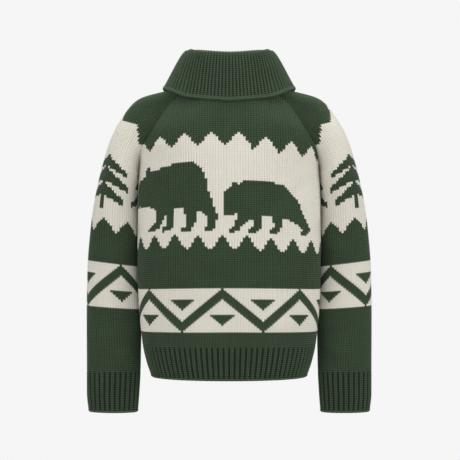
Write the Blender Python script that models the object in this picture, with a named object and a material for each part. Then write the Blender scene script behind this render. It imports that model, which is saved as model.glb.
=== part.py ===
"""Cowichan cardigan: hand-knit raglan jacket in thick wool, hollow as it hangs on a wearer.

The wearer faces -Y, so the back panel is on +Y and the wearer's left is +X.  Z is up, and the
origin is where a neck holds the garment, at the middle of the neck opening.

Every cloth piece is a wall between an outer skin and the same skin moved in by the knit's
thickness.  A skin is a stack of rows.  A row is numbered by the cloth's own height:
0 at the neck, 1 at the underarm, 3 at the top of the ribbed hem or cuff, and 4 at its lower edge.
Each row is a smooth half loop: a torso row runs from the centre line to a raglan or side seam,
and a sleeve row from a seam, or from the sleeve's inner line, to its outer line.
"""
import math

import bmesh
import bpy
import numpy as np

# ---- driving sizes, in metres ----
WALL = 0.004               # thickness of the knit
SEAM_GAP = 0.0005          # between two pieces that are sewn together
RIB_GAP = 0.0007           # between a knitted piece and its ribbed edge, or a band
COLLAR_GAP = 0.0010        # between the collar and the neck edge that it is sewn to
BAND_WIDTH = 0.032         # of a button band
BUTTON_RADIUS = 0.0125
BUTTON_THICKNESS = 0.004
BUTTON_COUNT = 6
BUTTON_HOLE_RADIUS = 0.0011
BUTTON_HOLE_REACH = 0.0028  # from the button's centre to each sewing hole
TOP_BUTTON_HEIGHT = -0.084
LOW_BUTTON_HEIGHT = -0.590

# ---- where the rows are, and how finely the skins are divided ----
NECK, UNDERARM, RIB_TOP, RIB_END = 0.0, 1.0, 3.0, 4.0
YOKE_STEPS = 8
BODY_STEPS = 9
RIB_STEPS = 2
BACK_COLUMNS = 16
FRONT_COLUMNS = 8
SLEEVE_COLUMNS = 18
COLLAR_COLUMNS = 40        # a multiple of 8, so that columns meet the raglan seams
COLLAR_STEPS = 12          # from the neck edge over the fold to the free edge
SEAM_STEP = 0.01           # the length of seam, in rows, that gives its direction
FINE = 4                   # skins are drawn this much finer to find their normals
BAND_COLUMNS = 3
CURVE_SAMPLES = 48
FRONT_NECK_DROP = 0.47     # the row that the front neck edge dips to at the centre


ACROSS = np.array([-1.0, 1.0, 1.0])   # turns the wearer's left into the right


def table(names, *rows):
    """Named columns of numbers, with a row for each section; the first column is the key."""
    return dict(zip(names.split(), np.array(rows, float).T))


# Back panel, from its centre line to the raglan seam, which turns into the side seam at row 1.
# turn is the angle at which a row meets the seam, seen from above, and reach its stiffness there.
BACK = table(
    "row  mid_y  mid_z  mid_reach  x      y       z       turn  rise   reach",
    (0.0, 0.066, 0.014, 0.034, 0.058, 0.047, 0.021, 39.0, 0.10, 0.024),
    (0.2, 0.080, 0.003, 0.052, 0.098, 0.050, 0.004, 24.0, -0.05, 0.036),
    (0.4, 0.093, -0.018, 0.070, 0.134, 0.054, -0.030, 27.0, -0.22, 0.048),
    (0.6, 0.105, -0.056, 0.088, 0.163, 0.060, -0.074, 40.0, -0.22, 0.058),
    (0.8, 0.115, -0.103, 0.105, 0.190, 0.041, -0.121, 62.0, -0.18, 0.066),
    (1.0, 0.121, -0.155, 0.115, 0.199, -0.008, -0.175, 90.0, -0.05, 0.076),
    (1.5, 0.125, -0.250, 0.117, 0.2005, -0.006, -0.262, 90.0, 0.0, 0.078),
    (2.0, 0.126, -0.350, 0.118, 0.202, -0.005, -0.358, 90.0, 0.0, 0.078),
    (2.5, 0.124, -0.450, 0.116, 0.199, -0.005, -0.455, 90.0, 0.0, 0.077),
    (3.0, 0.118, -0.543, 0.109, 0.190, -0.004, -0.547, 90.0, 0.0, 0.071),
    (3.5, 0.113, -0.582, 0.104, 0.182, -0.004, -0.584, 90.0, 0.0, 0.067),
    (4.0, 0.107, -0.619, 0.099, 0.170, -0.003, -0.619, 90.0, 0.0, 0.063),
)

# Front, the same way, with y measured forwards.  Above row 0.47 the middle is cut away as the neck.
FRONT = table(
    "row  mid_y  mid_z  mid_reach  x      y      z       turn  rise   reach",
    (0.0, 0.064, 0.006, 0.034, 0.058, 0.046, 0.010, 39.0, 0.05, 0.024),
    (0.2, 0.076, -0.014, 0.050, 0.094, 0.048, -0.006, 24.0, -0.05, 0.034),
    (0.4, 0.089, -0.043, 0.067, 0.126, 0.056, -0.038, 27.0, -0.15, 0.046),
    (0.6, 0.102, -0.080, 0.085, 0.156, 0.062, -0.080, 40.0, -0.18, 0.056),
    (0.8, 0.112, -0.119, 0.102, 0.185, 0.050, -0.124, 60.0, -0.15, 0.062),
    (1.0, 0.118, -0.160, 0.112, 0.199, 0.008, -0.175, 90.0, -0.05, 0.066),
    (1.5, 0.121, -0.254, 0.115, 0.2005, 0.006, -0.262, 90.0, 0.0, 0.070),
    (2.0, 0.121, -0.352, 0.116, 0.202, 0.005, -0.358, 90.0, 0.0, 0.071),
    (2.5, 0.118, -0.451, 0.114, 0.199, 0.005, -0.455, 90.0, 0.0, 0.070),
    (3.0, 0.112, -0.544, 0.107, 0.190, 0.004, -0.547, 90.0, 0.0, 0.066),
    (3.5, 0.108, -0.583, 0.102, 0.182, 0.004, -0.584, 90.0, 0.0, 0.062),
    (4.0, 0.102, -0.619, 0.097, 0.170, 0.003, -0.619, 90.0, 0.0, 0.058),
)

# Sleeve: its outer line (x, y, z) with the reach of a row there, backwards and forwards, and the
# direction in which a row leaves the back seam (bx, by, bz) and the front seam (fx, fy, fz).
SLEEVE = table(
    "row    x      y       z       back   front  bx     by      bz     fx     fy      fz",
    (0.0, 0.082, 0.002, 0.024, 0.025, 0.025, 0.012, -0.010, 0.001, 0.012, 0.010, 0.0008),
    (0.2, 0.136, 0.002, 0.008, 0.030, 0.030, 0.018, -0.008, 0.003, 0.018, 0.008, 0.002),
    (0.4, 0.197, -0.001, -0.009, 0.042, 0.042, 0.028, -0.003, 0.007, 0.028, 0.005, 0.010),
    (0.6, 0.238, -0.005, -0.054, 0.060, 0.056, 0.032, 0.005, 0.004, 0.030, -0.002, 0.006),
    (0.8, 0.2635, -0.010, -0.104, 0.078, 0.072, 0.022, 0.032, 0.004, 0.020, -0.024, 0.004),
    (1.0, 0.2785, -0.014, -0.152, 0.093, 0.088, 0.000, 0.093, 0.000, 0.000, -0.088, 0.000),
    (1.25, 0.295, -0.022, -0.218, 0.086, 0.082, 0.000, 0.086, 0.000, 0.000, -0.082, 0.000),
    (1.5, 0.306, -0.028, -0.284, 0.078, 0.076, 0.000, 0.078, 0.000, 0.000, -0.076, 0.000),
    (2.0, 0.3145, -0.033, -0.385, 0.067, 0.067, 0.000, 0.067, 0.000, 0.000, -0.067, 0.000),
    (2.5, 0.3165, -0.035, -0.490, 0.059, 0.059, 0.000, 0.059, 0.000, 0.000, -0.059, 0.000),
    (3.0, 0.3160, -0.034, -0.605, 0.051, 0.051, 0.000, 0.051, 0.000, 0.000, -0.051, 0.000),
    (3.5, 0.3160, -0.035, -0.657, 0.047, 0.047, 0.000, 0.047, 0.000, 0.000, -0.047, 0.000),
    (4.0, 0.3120, -0.036, -0.700, 0.044, 0.044, 0.000, 0.044, 0.000, 0.000, -0.044, 0.000),
)

# The sleeve's inner line, from the underarm to the edge of the cuff.
INNER = table(
    "row    x       y       z",
    (1.0, 0.1995, -0.008, -0.175),
    (1.25, 0.2025, -0.026, -0.240),
    (1.5, 0.2015, -0.034, -0.302),
    (2.0, 0.2000, -0.040, -0.398),
    (2.5, 0.1960, -0.039, -0.497),
    (3.0, 0.1975, -0.036, -0.607),
    (3.5, 0.2000, -0.037, -0.656),
    (4.0, 0.2035, -0.038, -0.701),
)

# Collar, at turns round the neck from the centre back (0) over the shoulder (0.5) to the front
# edge (1): where it folds over and where its free edge comes to lie.
COLLAR = table(
    "turn  fold_x fold_y  fold_z edge_x edge_y  edge_z",
    (0.0, 0.000, 0.074, 0.083, 0.000, 0.101, -0.023),
    (0.25, 0.064, 0.057, 0.0885, 0.088, 0.082, -0.0135),
    (0.375, 0.085, 0.033, 0.0925, 0.128, 0.049, 0.003),
    (0.5, 0.093, 0.000, 0.0930, 0.1435, 0.000, 0.0105),
    (0.625, 0.088, -0.034, 0.0880, 0.137, -0.040, 0.001),
    (0.75, 0.068, -0.062, 0.077, 0.112, -0.078, -0.024),
    (0.875, 0.044, -0.086, 0.050, 0.082, -0.103, -0.056),
    (1.0, 0.020, -0.103, 0.022, 0.052, -0.116, -0.078),
)
COLLAR_RISE = 0.045        # how far the collar rises straight out of the neck seam
COLLAR_FOLD = 0.009        # half the width of the fold at its top
COLLAR_SLOPE = 0.35        # the part of the fall that lies straight above its free edge


def smooth_slopes(keys, values):
    """Slopes for a smooth curve that never swings past the table's own values."""
    spans = np.diff(keys)
    rises = np.diff(values) / spans
    slopes = np.zeros(len(keys))
    slopes[0], slopes[-1] = rises[0], rises[-1]
    for k in range(1, len(keys) - 1):
        if rises[k - 1] * rises[k] > 0:
            before = 2 * spans[k] + spans[k - 1]
            after = spans[k] + 2 * spans[k - 1]
            slopes[k] = (before + after) / (before / rises[k - 1] + after / rises[k])
    return slopes


def read(source, name, key):
    """The value of a column at a key, on a smooth curve through the table's rows."""
    keys = source["row" if "row" in source else "turn"]
    values = source[name]
    slopes = smooth_slopes(keys, values)
    k = int(np.clip(np.searchsorted(keys, key) - 1, 0, len(keys) - 2))
    span = keys[k + 1] - keys[k]
    t = (key - keys[k]) / span
    return ((1 + 2 * t) * (1 - t) ** 2 * values[k] + t * (1 - t) ** 2 * span * slopes[k]
            + t * t * (3 - 2 * t) * values[k + 1] + t * t * (t - 1) * span * slopes[k + 1])


def vector(source, names, key):
    return np.array([read(source, name, key) for name in names.split()])


def bezier(start, start_handle, end_handle, end, samples=CURVE_SAMPLES):
    t = np.linspace(0.0, 1.0, samples + 1)[:, None]
    return ((1 - t) ** 3 * start + 3 * t * (1 - t) ** 2 * start_handle
            + 3 * t * t * (1 - t) * end_handle + t ** 3 * end)


def torso_table(side):
    return BACK if side > 0 else FRONT


def torso_seam(side, row):
    """A point of the raglan seam or, below the underarm, of the side seam that both sides share."""
    if row >= UNDERARM:
        return vector(BACK, "x y z", row)
    return vector(torso_table(side), "x y z", row) * (1, side, 1)


def torso_arrival(side, row):
    """The direction in which a row of the body arrives at its seam."""
    source = torso_table(side)
    angle = math.radians(read(source, "turn", row))
    return np.array([math.cos(angle), -side * math.sin(angle), read(source, "rise", row)])


def torso_row(side, row):
    """Half a row of the body, from the centre line to the seam; side is 1 at the back, -1 in front."""
    source = torso_table(side)
    middle = np.array([0.0, side * read(source, "mid_y", row), read(source, "mid_z", row)])
    seam = torso_seam(side, row)
    mid_handle = middle + (read(source, "mid_reach", row), 0, 0)
    return bezier(middle, mid_handle, seam - torso_arrival(side, row) * read(source, "reach", row), seam)


def sleeve_departure(side, row):
    """The handle with which a row of the sleeve leaves its seam."""
    return vector(SLEEVE, "bx by bz" if side > 0 else "fx fy fz", row)


def seam_normals(side, levels, direction):
    """Outward normals along a seam, square to the seam and to the rows that meet it."""
    normals = []
    for row in levels:
        down = torso_seam(side, row + SEAM_STEP) - torso_seam(side, max(NECK, row - SEAM_STEP))
        normal = side * np.cross(direction(side, row), down)
        normals.append(normal / np.linalg.norm(normal))
    return np.array(normals)


def sleeve_row(side, row):
    """Half a row of the sleeve, from its seam or inner line to its outer line."""
    outer = vector(SLEEVE, "x y z", row)
    leave = sleeve_departure(side, row)
    if row < UNDERARM:
        seam = torso_seam(side, row)
    else:
        seam = vector(INNER, "x y z", row)
    reach = side * read(SLEEVE, "back" if side > 0 else "front", row)
    return bezier(seam, seam + leave, outer + (0, reach, 0), outer)


def whole_sleeve_row(row):
    """A row of the sleeve, from its back seam over the outer line to its front seam."""
    return np.vstack([sleeve_row(1, row), sleeve_row(-1, row)[-2::-1]])


def spaced(line, count, cut_start=0.0, cut_end=0.0):
    """count + 1 evenly spaced points of a line, which is shortened at its ends."""
    steps = np.linalg.norm(np.diff(line, axis=0), axis=1)
    length = np.concatenate([[0.0], np.cumsum(steps)])
    wanted = np.linspace(cut_start, length[-1] - cut_end, count + 1)
    return np.column_stack([np.interp(wanted, length, line[:, axis]) for axis in range(3)])


def row_levels(first, last):
    """Row numbers from first to last that every neighbouring piece shares."""
    yoke = np.linspace(NECK, UNDERARM, YOKE_STEPS + 1)
    body = np.linspace(UNDERARM, RIB_TOP, BODY_STEPS + 1)[1:]
    rib = np.linspace(RIB_TOP, RIB_END, RIB_STEPS + 1)[1:]
    levels = np.concatenate([yoke, body, rib])
    levels = levels[(levels >= first) & (levels <= last)]
    if first == RIB_TOP:
        levels[0] += seam_in_rows()
    if last == RIB_TOP:
        levels[-1] -= seam_in_rows()
    return levels


def seam_in_rows():
    """Half the seam gap above the ribs, as a difference of row numbers."""
    height = read(BACK, "mid_z", UNDERARM) - read(BACK, "mid_z", RIB_TOP)
    return 0.5 * RIB_GAP * (RIB_TOP - UNDERARM) / height


def neck_row(fraction):
    """The row at which the front neck edge lies, from the band (0) to the raglan seam (1)."""
    return FRONT_NECK_DROP * (1.0 - fraction ** 2) ** 1.5


def back_skin(first, last):
    """Points of the back, a row at a time, from the wearer's right seam to the left one."""
    rows = []
    for row in row_levels(first, last):
        half = spaced(torso_row(1, row), FINE * BACK_COLUMNS // 2, 0.0, 0.5 * SEAM_GAP)
        rows.append(np.vstack([half[:0:-1] * ACROSS, half]))
    return np.array(rows)


def front_point(fraction, row):
    """A point of the front row, at a fraction of the way from the band to the seam."""
    columns = FINE * FRONT_COLUMNS
    cut = 0.5 * BAND_WIDTH + RIB_GAP
    return spaced(torso_row(-1, row), columns, cut, 0.5 * SEAM_GAP)[round(fraction * columns)]


def front_skin(first, last):
    """Points of the left front, from its seam to its band; each column starts at the neck edge."""
    levels = row_levels(first, last)
    fractions = np.linspace(1.0, 0.0, FINE * FRONT_COLUMNS + 1)
    skin = np.empty((len(levels), len(fractions), 3))
    for column, fraction in enumerate(fractions):
        top = max(first, neck_row(fraction)) if first == NECK else first
        for k, level in enumerate(levels):
            row = top + (last - top) * (level - first) / (last - first) if top > first else level
            skin[k, column] = front_point(fraction, row)
    return skin


def sleeve_skin(first, last):
    rows = []
    for row in row_levels(first, last):
        cut = 0.5 * SEAM_GAP if row < UNDERARM else 0.0
        rows.append(spaced(whole_sleeve_row(row), FINE * SLEEVE_COLUMNS, cut, cut))
    return np.array(rows)


def band_skin(lift):
    """Points of a button band, centred on the front; lift moves it out from the body's skin."""
    rows = []
    top = FRONT_NECK_DROP
    for level in row_levels(NECK, RIB_END):
        row = top + (RIB_END - top) * level / RIB_END
        y, z = -read(FRONT, "mid_y", row), read(FRONT, "mid_z", row)
        xs = np.linspace(0.5 * BAND_WIDTH, -0.5 * BAND_WIDTH, FINE * BAND_COLUMNS + 1)
        rows.append([(x, y - lift, z) for x in xs])
    return np.array(rows)


def neck_edge(turn):
    """A point of the neck edge, at a turn from the centre back (0) to the band (1)."""
    if turn <= 0.25:
        return spaced(torso_row(1, NECK), CURVE_SAMPLES)[round(turn * 4 * CURVE_SAMPLES)]
    if turn < 0.75:
        line = spaced(whole_sleeve_row(NECK), CURVE_SAMPLES)
        return line[round((turn - 0.25) * 2 * CURVE_SAMPLES)]
    fraction = 4 * (1.0 - turn)
    line = torso_row(-1, neck_row(fraction))
    cut = 0.5 * BAND_WIDTH + RIB_GAP
    return spaced(line, CURVE_SAMPLES, cut)[round(fraction * CURVE_SAMPLES)]


def collar_skin():
    """Points of the collar's hidden side: up from the neck edge, over the fold, down to its edge."""
    half_turns = np.linspace(0.0, 1.0, FINE * COLLAR_COLUMNS // 2 + 1)
    columns = []
    for turn in half_turns:
        start = neck_edge(turn) + (0, 0, COLLAR_GAP)
        fold = vector(COLLAR, "fold_x fold_y fold_z", turn)
        end = vector(COLLAR, "edge_x edge_y edge_z", turn)
        out = (end - fold) * (1, 1, 0)
        out *= COLLAR_FOLD / np.linalg.norm(out)
        rise = bezier(start, start + (0, 0, COLLAR_RISE), fold - out, fold)
        fall = bezier(fold, fold + out, end + COLLAR_SLOPE * (fold - end), end)
        columns.append(spaced(np.vstack([rise, fall[1:]]), COLLAR_STEPS))
    left = np.array(columns)
    right = left[:0:-1] * ACROSS
    return np.vstack([right, left]).transpose(1, 0, 2)


def skin_normals(skin, closed=False):
    """Outward unit normals of a skin whose columns run anticlockwise seen from outside and above."""
    if closed:
        ring = np.concatenate([skin[:, -2:-1], skin, skin[:, 1:2]], axis=1)
        across = (ring[:, 2:] - ring[:, :-2])
    else:
        across = np.gradient(skin, axis=1, edge_order=2)
    down = np.gradient(skin, axis=0, edge_order=2)
    normals = np.cross(across, down)
    return normals / np.linalg.norm(normals, axis=2)[:, :, None]


def add_mesh(name, vertices, faces, color, roughness, metallic=0.0):
    mesh = bpy.data.meshes.new(name)
    mesh.from_pydata([tuple(v) for v in vertices], [], faces)
    material = bpy.data.materials.new(name)
    material.use_nodes = True
    surface = material.node_tree.nodes["Principled BSDF"]
    surface.inputs["Base Color"].default_value = (*color, 1.0)
    surface.inputs["Roughness"].default_value = roughness
    surface.inputs["Metallic"].default_value = metallic
    mesh.materials.append(material)
    piece = bpy.data.objects.new(name, mesh)
    bpy.context.collection.objects.link(piece)
    tidy = bmesh.new()
    tidy.from_mesh(mesh)
    bmesh.ops.recalc_face_normals(tidy, faces=tidy.faces)
    tidy.to_mesh(mesh)
    tidy.free()
    mesh.shade_smooth()
    mesh.set_sharp_from_angle(angle=math.radians(50))
    return piece


GREEN = (0.044, 0.076, 0.046)
BROWN = (0.10, 0.055, 0.03)
WOOL_ROUGHNESS = 0.95


def cloth(name, skin, inward=True, closed_from=None, first_edge=None, last_edge=None):
    """A wall of cloth on a skin.  From row closed_from on, the skin's first and last columns meet.

    first_edge and last_edge are the normals along the seams at its first and last column.
    """
    normals = skin_normals(skin)
    if first_edge is not None:
        normals[:len(first_edge), 0] = first_edge
    if last_edge is not None:
        normals[:len(last_edge), -1] = last_edge
    if closed_from is not None:
        normals[closed_from:] = skin_normals(skin[closed_from:], closed=True)
    skin, normals = skin[:, ::FINE], normals[:, ::FINE]
    rows, columns = skin.shape[:2]
    other = skin - normals * WALL if inward else skin + normals * WALL
    index = np.arange(rows * columns).reshape(rows, columns)
    if closed_from is not None:
        index[closed_from:, -1] = index[closed_from:, 0]
    under = index + rows * columns
    faces = []
    for r in range(rows - 1):
        for c in range(columns - 1):
            faces.append((index[r, c], index[r + 1, c], index[r + 1, c + 1], index[r, c + 1]))
            faces.append((under[r, c], under[r, c + 1], under[r + 1, c + 1], under[r + 1, c]))
    open_rows = rows if closed_from is None else closed_from + 1
    for r in range(open_rows - 1):
        faces.append((index[r, 0], under[r, 0], under[r + 1, 0], index[r + 1, 0]))
        faces.append((index[r, -1], index[r + 1, -1], under[r + 1, -1], under[r, -1]))
    for c in range(columns - 1):
        faces.append((index[0, c], index[0, c + 1], under[0, c + 1], under[0, c]))
        faces.append((index[-1, c], under[-1, c], under[-1, c + 1], index[-1, c + 1]))
    vertices = np.concatenate([skin.reshape(-1, 3), other.reshape(-1, 3)])
    used = sorted({int(i) for face in faces for i in face})
    place = {old: new for new, old in enumerate(used)}
    faces = [tuple(place[int(i)] for i in face) for face in faces]
    return add_mesh(name, vertices[used], faces, GREEN, WOOL_ROUGHNESS)


def mirrored(skin):
    """The same skin on the wearer's other side, with its columns still in the same sense."""
    return skin[:, ::-1] * ACROSS


def button(name, centre, slope):
    """A turned button with a raised rim and four sewing holes, facing -Y."""
    profile = [(0.0, 0.0), (0.86, 0.0), (1.0, 0.3), (1.0, 0.75), (0.92, 1.0), (0.80, 1.0),
               (0.68, 0.72), (0.0, 0.66)]
    sides = 16
    vertices, faces = [], []
    for radius, height in profile:
        ring = 1 if radius == 0 else sides
        start = len(vertices)
        for k in range(ring):
            angle = 2 * math.pi * k / sides
            vertices.append((radius * BUTTON_RADIUS * math.cos(angle),
                             -height * BUTTON_THICKNESS,
                             radius * BUTTON_RADIUS * math.sin(angle)))
        if start == 0:
            previous, last_ring = start, ring
            continue
        for k in range(sides):
            here = start + (k if ring > 1 else 0)
            after = start + ((k + 1) % sides if ring > 1 else 0)
            below = previous + (k if last_ring > 1 else 0)
            below_after = previous + ((k + 1) % sides if last_ring > 1 else 0)
            face = [below, below_after, after, here]
            faces.append(tuple(dict.fromkeys(face)))
        previous, last_ring = start, ring
    piece = add_mesh(name, vertices, faces, BROWN, 0.45)
    piece.location = centre
    piece.rotation_euler = (slope, 0, 0)
    for k in range(4):
        angle = math.pi / 4 + k * math.pi / 2
        drill = drill_at(name, BUTTON_HOLE_REACH * math.cos(angle), BUTTON_HOLE_REACH * math.sin(angle))
        drill.parent = piece
        cut = piece.modifiers.new("hole", "BOOLEAN")
        cut.operation = "DIFFERENCE"
        cut.object = drill
    return piece


def drill_at(name, x, z):
    """An unseen cutter for one sewing hole."""
    mesh = bpy.data.meshes.new(name + "_drill")
    shape = bmesh.new()
    bmesh.ops.create_cone(shape, cap_ends=True, segments=6, radius1=BUTTON_HOLE_RADIUS,
                          radius2=BUTTON_HOLE_RADIUS, depth=4 * BUTTON_THICKNESS)
    shape.to_mesh(mesh)
    shape.free()
    drill = bpy.data.objects.new(name + "_drill", mesh)
    bpy.context.collection.objects.link(drill)
    drill.location = (x, 0, z)
    drill.rotation_euler = (math.pi / 2, 0, 0)
    drill.hide_render = True
    drill.display_type = "WIRE"
    return drill


def build_body():
    for prefix, first, last in (("", NECK, RIB_TOP), ("hem_", RIB_TOP, RIB_END)):
        levels = row_levels(first, last)
        edge = seam_normals(1, levels, torso_arrival)
        cloth(prefix + "back", back_skin(first, last), first_edge=edge * ACROSS, last_edge=edge)
        edge = seam_normals(-1, levels, torso_arrival)
        skin = front_skin(first, last)
        cloth(prefix + "front_left", skin, first_edge=edge)
        cloth(prefix + "front_right", mirrored(skin), last_edge=edge * ACROSS)


def build_sleeves():
    skin = sleeve_skin(NECK, RIB_TOP)
    cuff = sleeve_skin(RIB_TOP, RIB_END)
    levels = row_levels(NECK, RIB_TOP)[:YOKE_STEPS]
    back, front = [seam_normals(side, levels, sleeve_departure) for side in (1, -1)]
    cloth("sleeve_left", skin, closed_from=YOKE_STEPS, first_edge=back, last_edge=front)
    cloth("cuff_left", cuff, closed_from=0)
    cloth("sleeve_right", mirrored(skin), closed_from=YOKE_STEPS,
          first_edge=front * ACROSS, last_edge=back * ACROSS)
    cloth("cuff_right", mirrored(cuff), closed_from=0)


def build_bands():
    """The right band, which the buttons are sewn to, lies under the left one."""
    cloth("band_right", band_skin(0.0))
    cloth("band_left", band_skin(WALL + SEAM_GAP))


def build_buttons():
    lift = WALL + 2 * SEAM_GAP
    rows = np.linspace(RIB_END, NECK, CURVE_SAMPLES * 4)
    depths = [-read(FRONT, "mid_y", row) for row in rows]
    heights = [read(FRONT, "mid_z", row) for row in rows]
    for k, height in enumerate(np.linspace(TOP_BUTTON_HEIGHT, LOW_BUTTON_HEIGHT, BUTTON_COUNT)):
        upper, y, lower = np.interp(height + np.array([0.5, 0.0, -0.5]) * BUTTON_RADIUS, heights, depths)
        slope = math.atan2(upper - lower, BUTTON_RADIUS)
        button("button_%d" % (k + 1), (0.0, y - lift, height), -slope)


for old in list(bpy.data.objects):
    bpy.data.objects.remove(old, do_unlink=True)
build_body()
build_sleeves()
build_bands()
cloth("collar", collar_skin(), inward=False)
build_buttons()
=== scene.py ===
"""The looks of the cowichan cardigan: every cloth piece is knitted, stitch by stitch, on the form
of its CAD solid.

A cloth piece starts as a Skin, the outer face of its solid laid out in knitted rows.  knit() covers
it with stitches, colours them from a chart, adds a plain inner face, and closes the shell round its
border.  Charts are functions of the stitch: across to the viewer's right and up from the ribs.

The rows and the tables of the garment's form are those of the CAD model, in metres.
"""

import math

import bpy
import numpy as np
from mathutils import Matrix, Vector


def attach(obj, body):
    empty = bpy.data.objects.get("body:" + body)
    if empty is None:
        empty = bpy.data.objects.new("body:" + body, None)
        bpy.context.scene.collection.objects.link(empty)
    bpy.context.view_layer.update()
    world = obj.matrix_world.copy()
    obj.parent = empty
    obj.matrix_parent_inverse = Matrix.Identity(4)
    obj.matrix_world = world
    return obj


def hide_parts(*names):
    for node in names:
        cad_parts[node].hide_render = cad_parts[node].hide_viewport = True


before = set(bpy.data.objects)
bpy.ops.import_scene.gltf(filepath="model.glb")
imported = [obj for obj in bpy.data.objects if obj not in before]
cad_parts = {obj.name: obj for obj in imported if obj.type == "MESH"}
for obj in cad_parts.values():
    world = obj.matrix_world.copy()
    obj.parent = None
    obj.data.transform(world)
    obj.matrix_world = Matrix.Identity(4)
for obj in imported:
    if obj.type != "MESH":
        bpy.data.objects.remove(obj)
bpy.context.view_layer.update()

# ---- the garment's sizes, as in the CAD model ----
WALL = 0.004
BAND_GAP = 0.0005          # between the two button bands
BAND_WIDTH = 0.032
FRONT_NECK_DROP = 0.47     # the row that the front neck edge dips to at the centre
COLLAR_RISE = 0.045        # how far the collar rises straight out of the neck seam
COLLAR_FOLD = 0.009        # half the width of the fold at its top
COLLAR_SLOPE = 0.35        # the part of the fall that lies straight above its free edge
NECK, UNDERARM, RIB_TOP, RIB_END = 0.0, 1.0, 3.0, 4.0    # rows of the tables below
BACK_SEAM, FRONT_SEAM = 0.25, 0.75    # turns round the neck at which the raglan seams begin
ACROSS = np.array([-1.0, 1.0, 1.0])   # turns the wearer's left into the right

# ---- two seams overlap, where the solids are a little apart, so that no light falls through ----
COLLAR_OVERLAP = 0.0010    # how far the collar starts below the neck edge
BAND_OVERLAP = 0.0002      # how far the fronts reach into the sides of the lower button band
FRONT_START = 0.5 * BAND_WIDTH - BAND_OVERLAP    # from the centre line to a front's edge

# ---- the knit ----
STITCH = 0.00582           # width of a stitch
ROW = 0.00470              # height of a stitch
SLEEVE_ROW = 0.00500       # the sleeves hang, which draws their stitches out
RIB_PERIOD = 0.0122        # from one rib of the hem or cuff to the next
COLLAR_RIBS = 90
BACK_RIBS = 41
FRONT_RIBS = 18
CUFF_RIBS = 26
BAND_RIBS = 4
BAND_RIB_WIDTH = 0.008
SAMPLES = 160              # points along a row of a skin
QUARTERS = 4               # rows of a skin for each knitted row
MEASURED = 400             # points along a line whose length is measured
HALVINGS = 40              # steps of a search that halves its range
INSIDE = 0.0036            # how far the inner face lies inside the skin
SEAM_ROLL = 0.003          # how far from a side seam the stitches start to flatten
SEAM_RISE = 0.0003         # how far the cloth stands out at the seam
SEAM_LIGHT = 0.50          # how light the painted shade leaves the cloth at the seam
SLANT = 1.5                # how steeply stitches are cut off at a slanting seam
FAR_IN = 0.5               # further than any stitch then has to slide
RIB_START = 1.5            # the rows over which ribs rise out of the plain knit
HEM_EDGE = 1.2             # rows of the hem's and cuff's bound edge
COLLAR_EDGE = 2.0          # rows of the collar's bound edge
FOLD_FLATNESS = 0.75       # how much lower the collar's ribs stand on its fold
FOLD_ROWS = 2.0            # and how many rows on each side of it
EDGE_ROLL = 0.0012         # how far a bound edge rolls out
EDGE_TUCK = 0.6            # the part of that by which its end then turns in
EDGE_LEAN = 0.8            # below 1, it rolls out most in its upper half
EDGE_BLEND = 0.25          # the part of it over which it takes over from the ribs
DARK_DEPTH = 0.0032        # the depth between stitches at which no light would get in, for the painted shade
DARKEST = 0.32             # how light the painted shade leaves the deepest places
ROW_LIGHT = 0.58           # how light the painted shade leaves it between two rows
CREASE_END = 0.15          # 0 lets a crease run out to nothing at its ends, 0.5 leaves it as deep
SHARP = math.radians(70)   # edges bent more than this are creased, as at the rim
SLEEVE_CHART_BACK = 0.056  # how far behind the sleeve's outer line its pattern is centred
OUTER_MAP = np.array([(0.02, 0.02), (0.62, 0.98)])     # corners of the bake map's two areas
INNER_MAP = np.array([(0.66, 0.02), (0.98, 0.98)])
RIM_SPREAD = 0.03          # how much wider than the outer face the rim is laid on that map
OUTER_FACE, INNER_FACE, RIM = 0, 1, 2                  # the kinds of a shell's faces

# ---- threads, stage, camera ----
THREAD_RADIUS = 0.00055
THREAD_REACH = 0.0028      # from a button's middle to its holes
THREAD_RISE = 0.0007       # how far a thread stands out of the button's face in the middle
THREAD_SINK = 0.0016       # how far it goes down into the holes
THREAD_POINTS = 9
BUTTON_FACE = 0.0007       # how far a button's sunk face lies outside its middle
BUTTON_END = 0.2           # the part of its height that counts as its top or bottom
FLOOR_HEIGHT = -1.0
FLOOR_RADIUS = 1.2
FLOOR_SHADE = 0.66
ROOM_SHADE = 0.92          # how bright the room looks
ROOM_LIGHT = 0.60          # how much light comes from all round it
MIDDLE = (0.0, 0.0, -0.30)
CAMERA_SIDE = -0.0018
CAMERA_DISTANCE = 3.2
CAMERA_HEIGHT = -0.297
VIEW_WIDTH = 1.012         # what the camera takes in at the garment
LIGHTS = (                 # name, place, size and power in watts
    ("key", (1.4, 2.0, 0.5), 1.3, 15.5),
    ("fill", (-1.8, 1.8, 0.4), 1.3, 22.0),
    ("top", (0.1, 0.3, 2.2), 1.5, 26.0),
    ("soft", (-0.1, 3.6, -0.3), 1.6, 18.5),
    ("front", (0.6, -2.2, 1.7), 1.6, 42.0),
)


def table(names, *rows):
    """Named columns of numbers, with a row for each section; the first column is the key."""
    return dict(zip(names.split(), np.array(rows, float).T))


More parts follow.
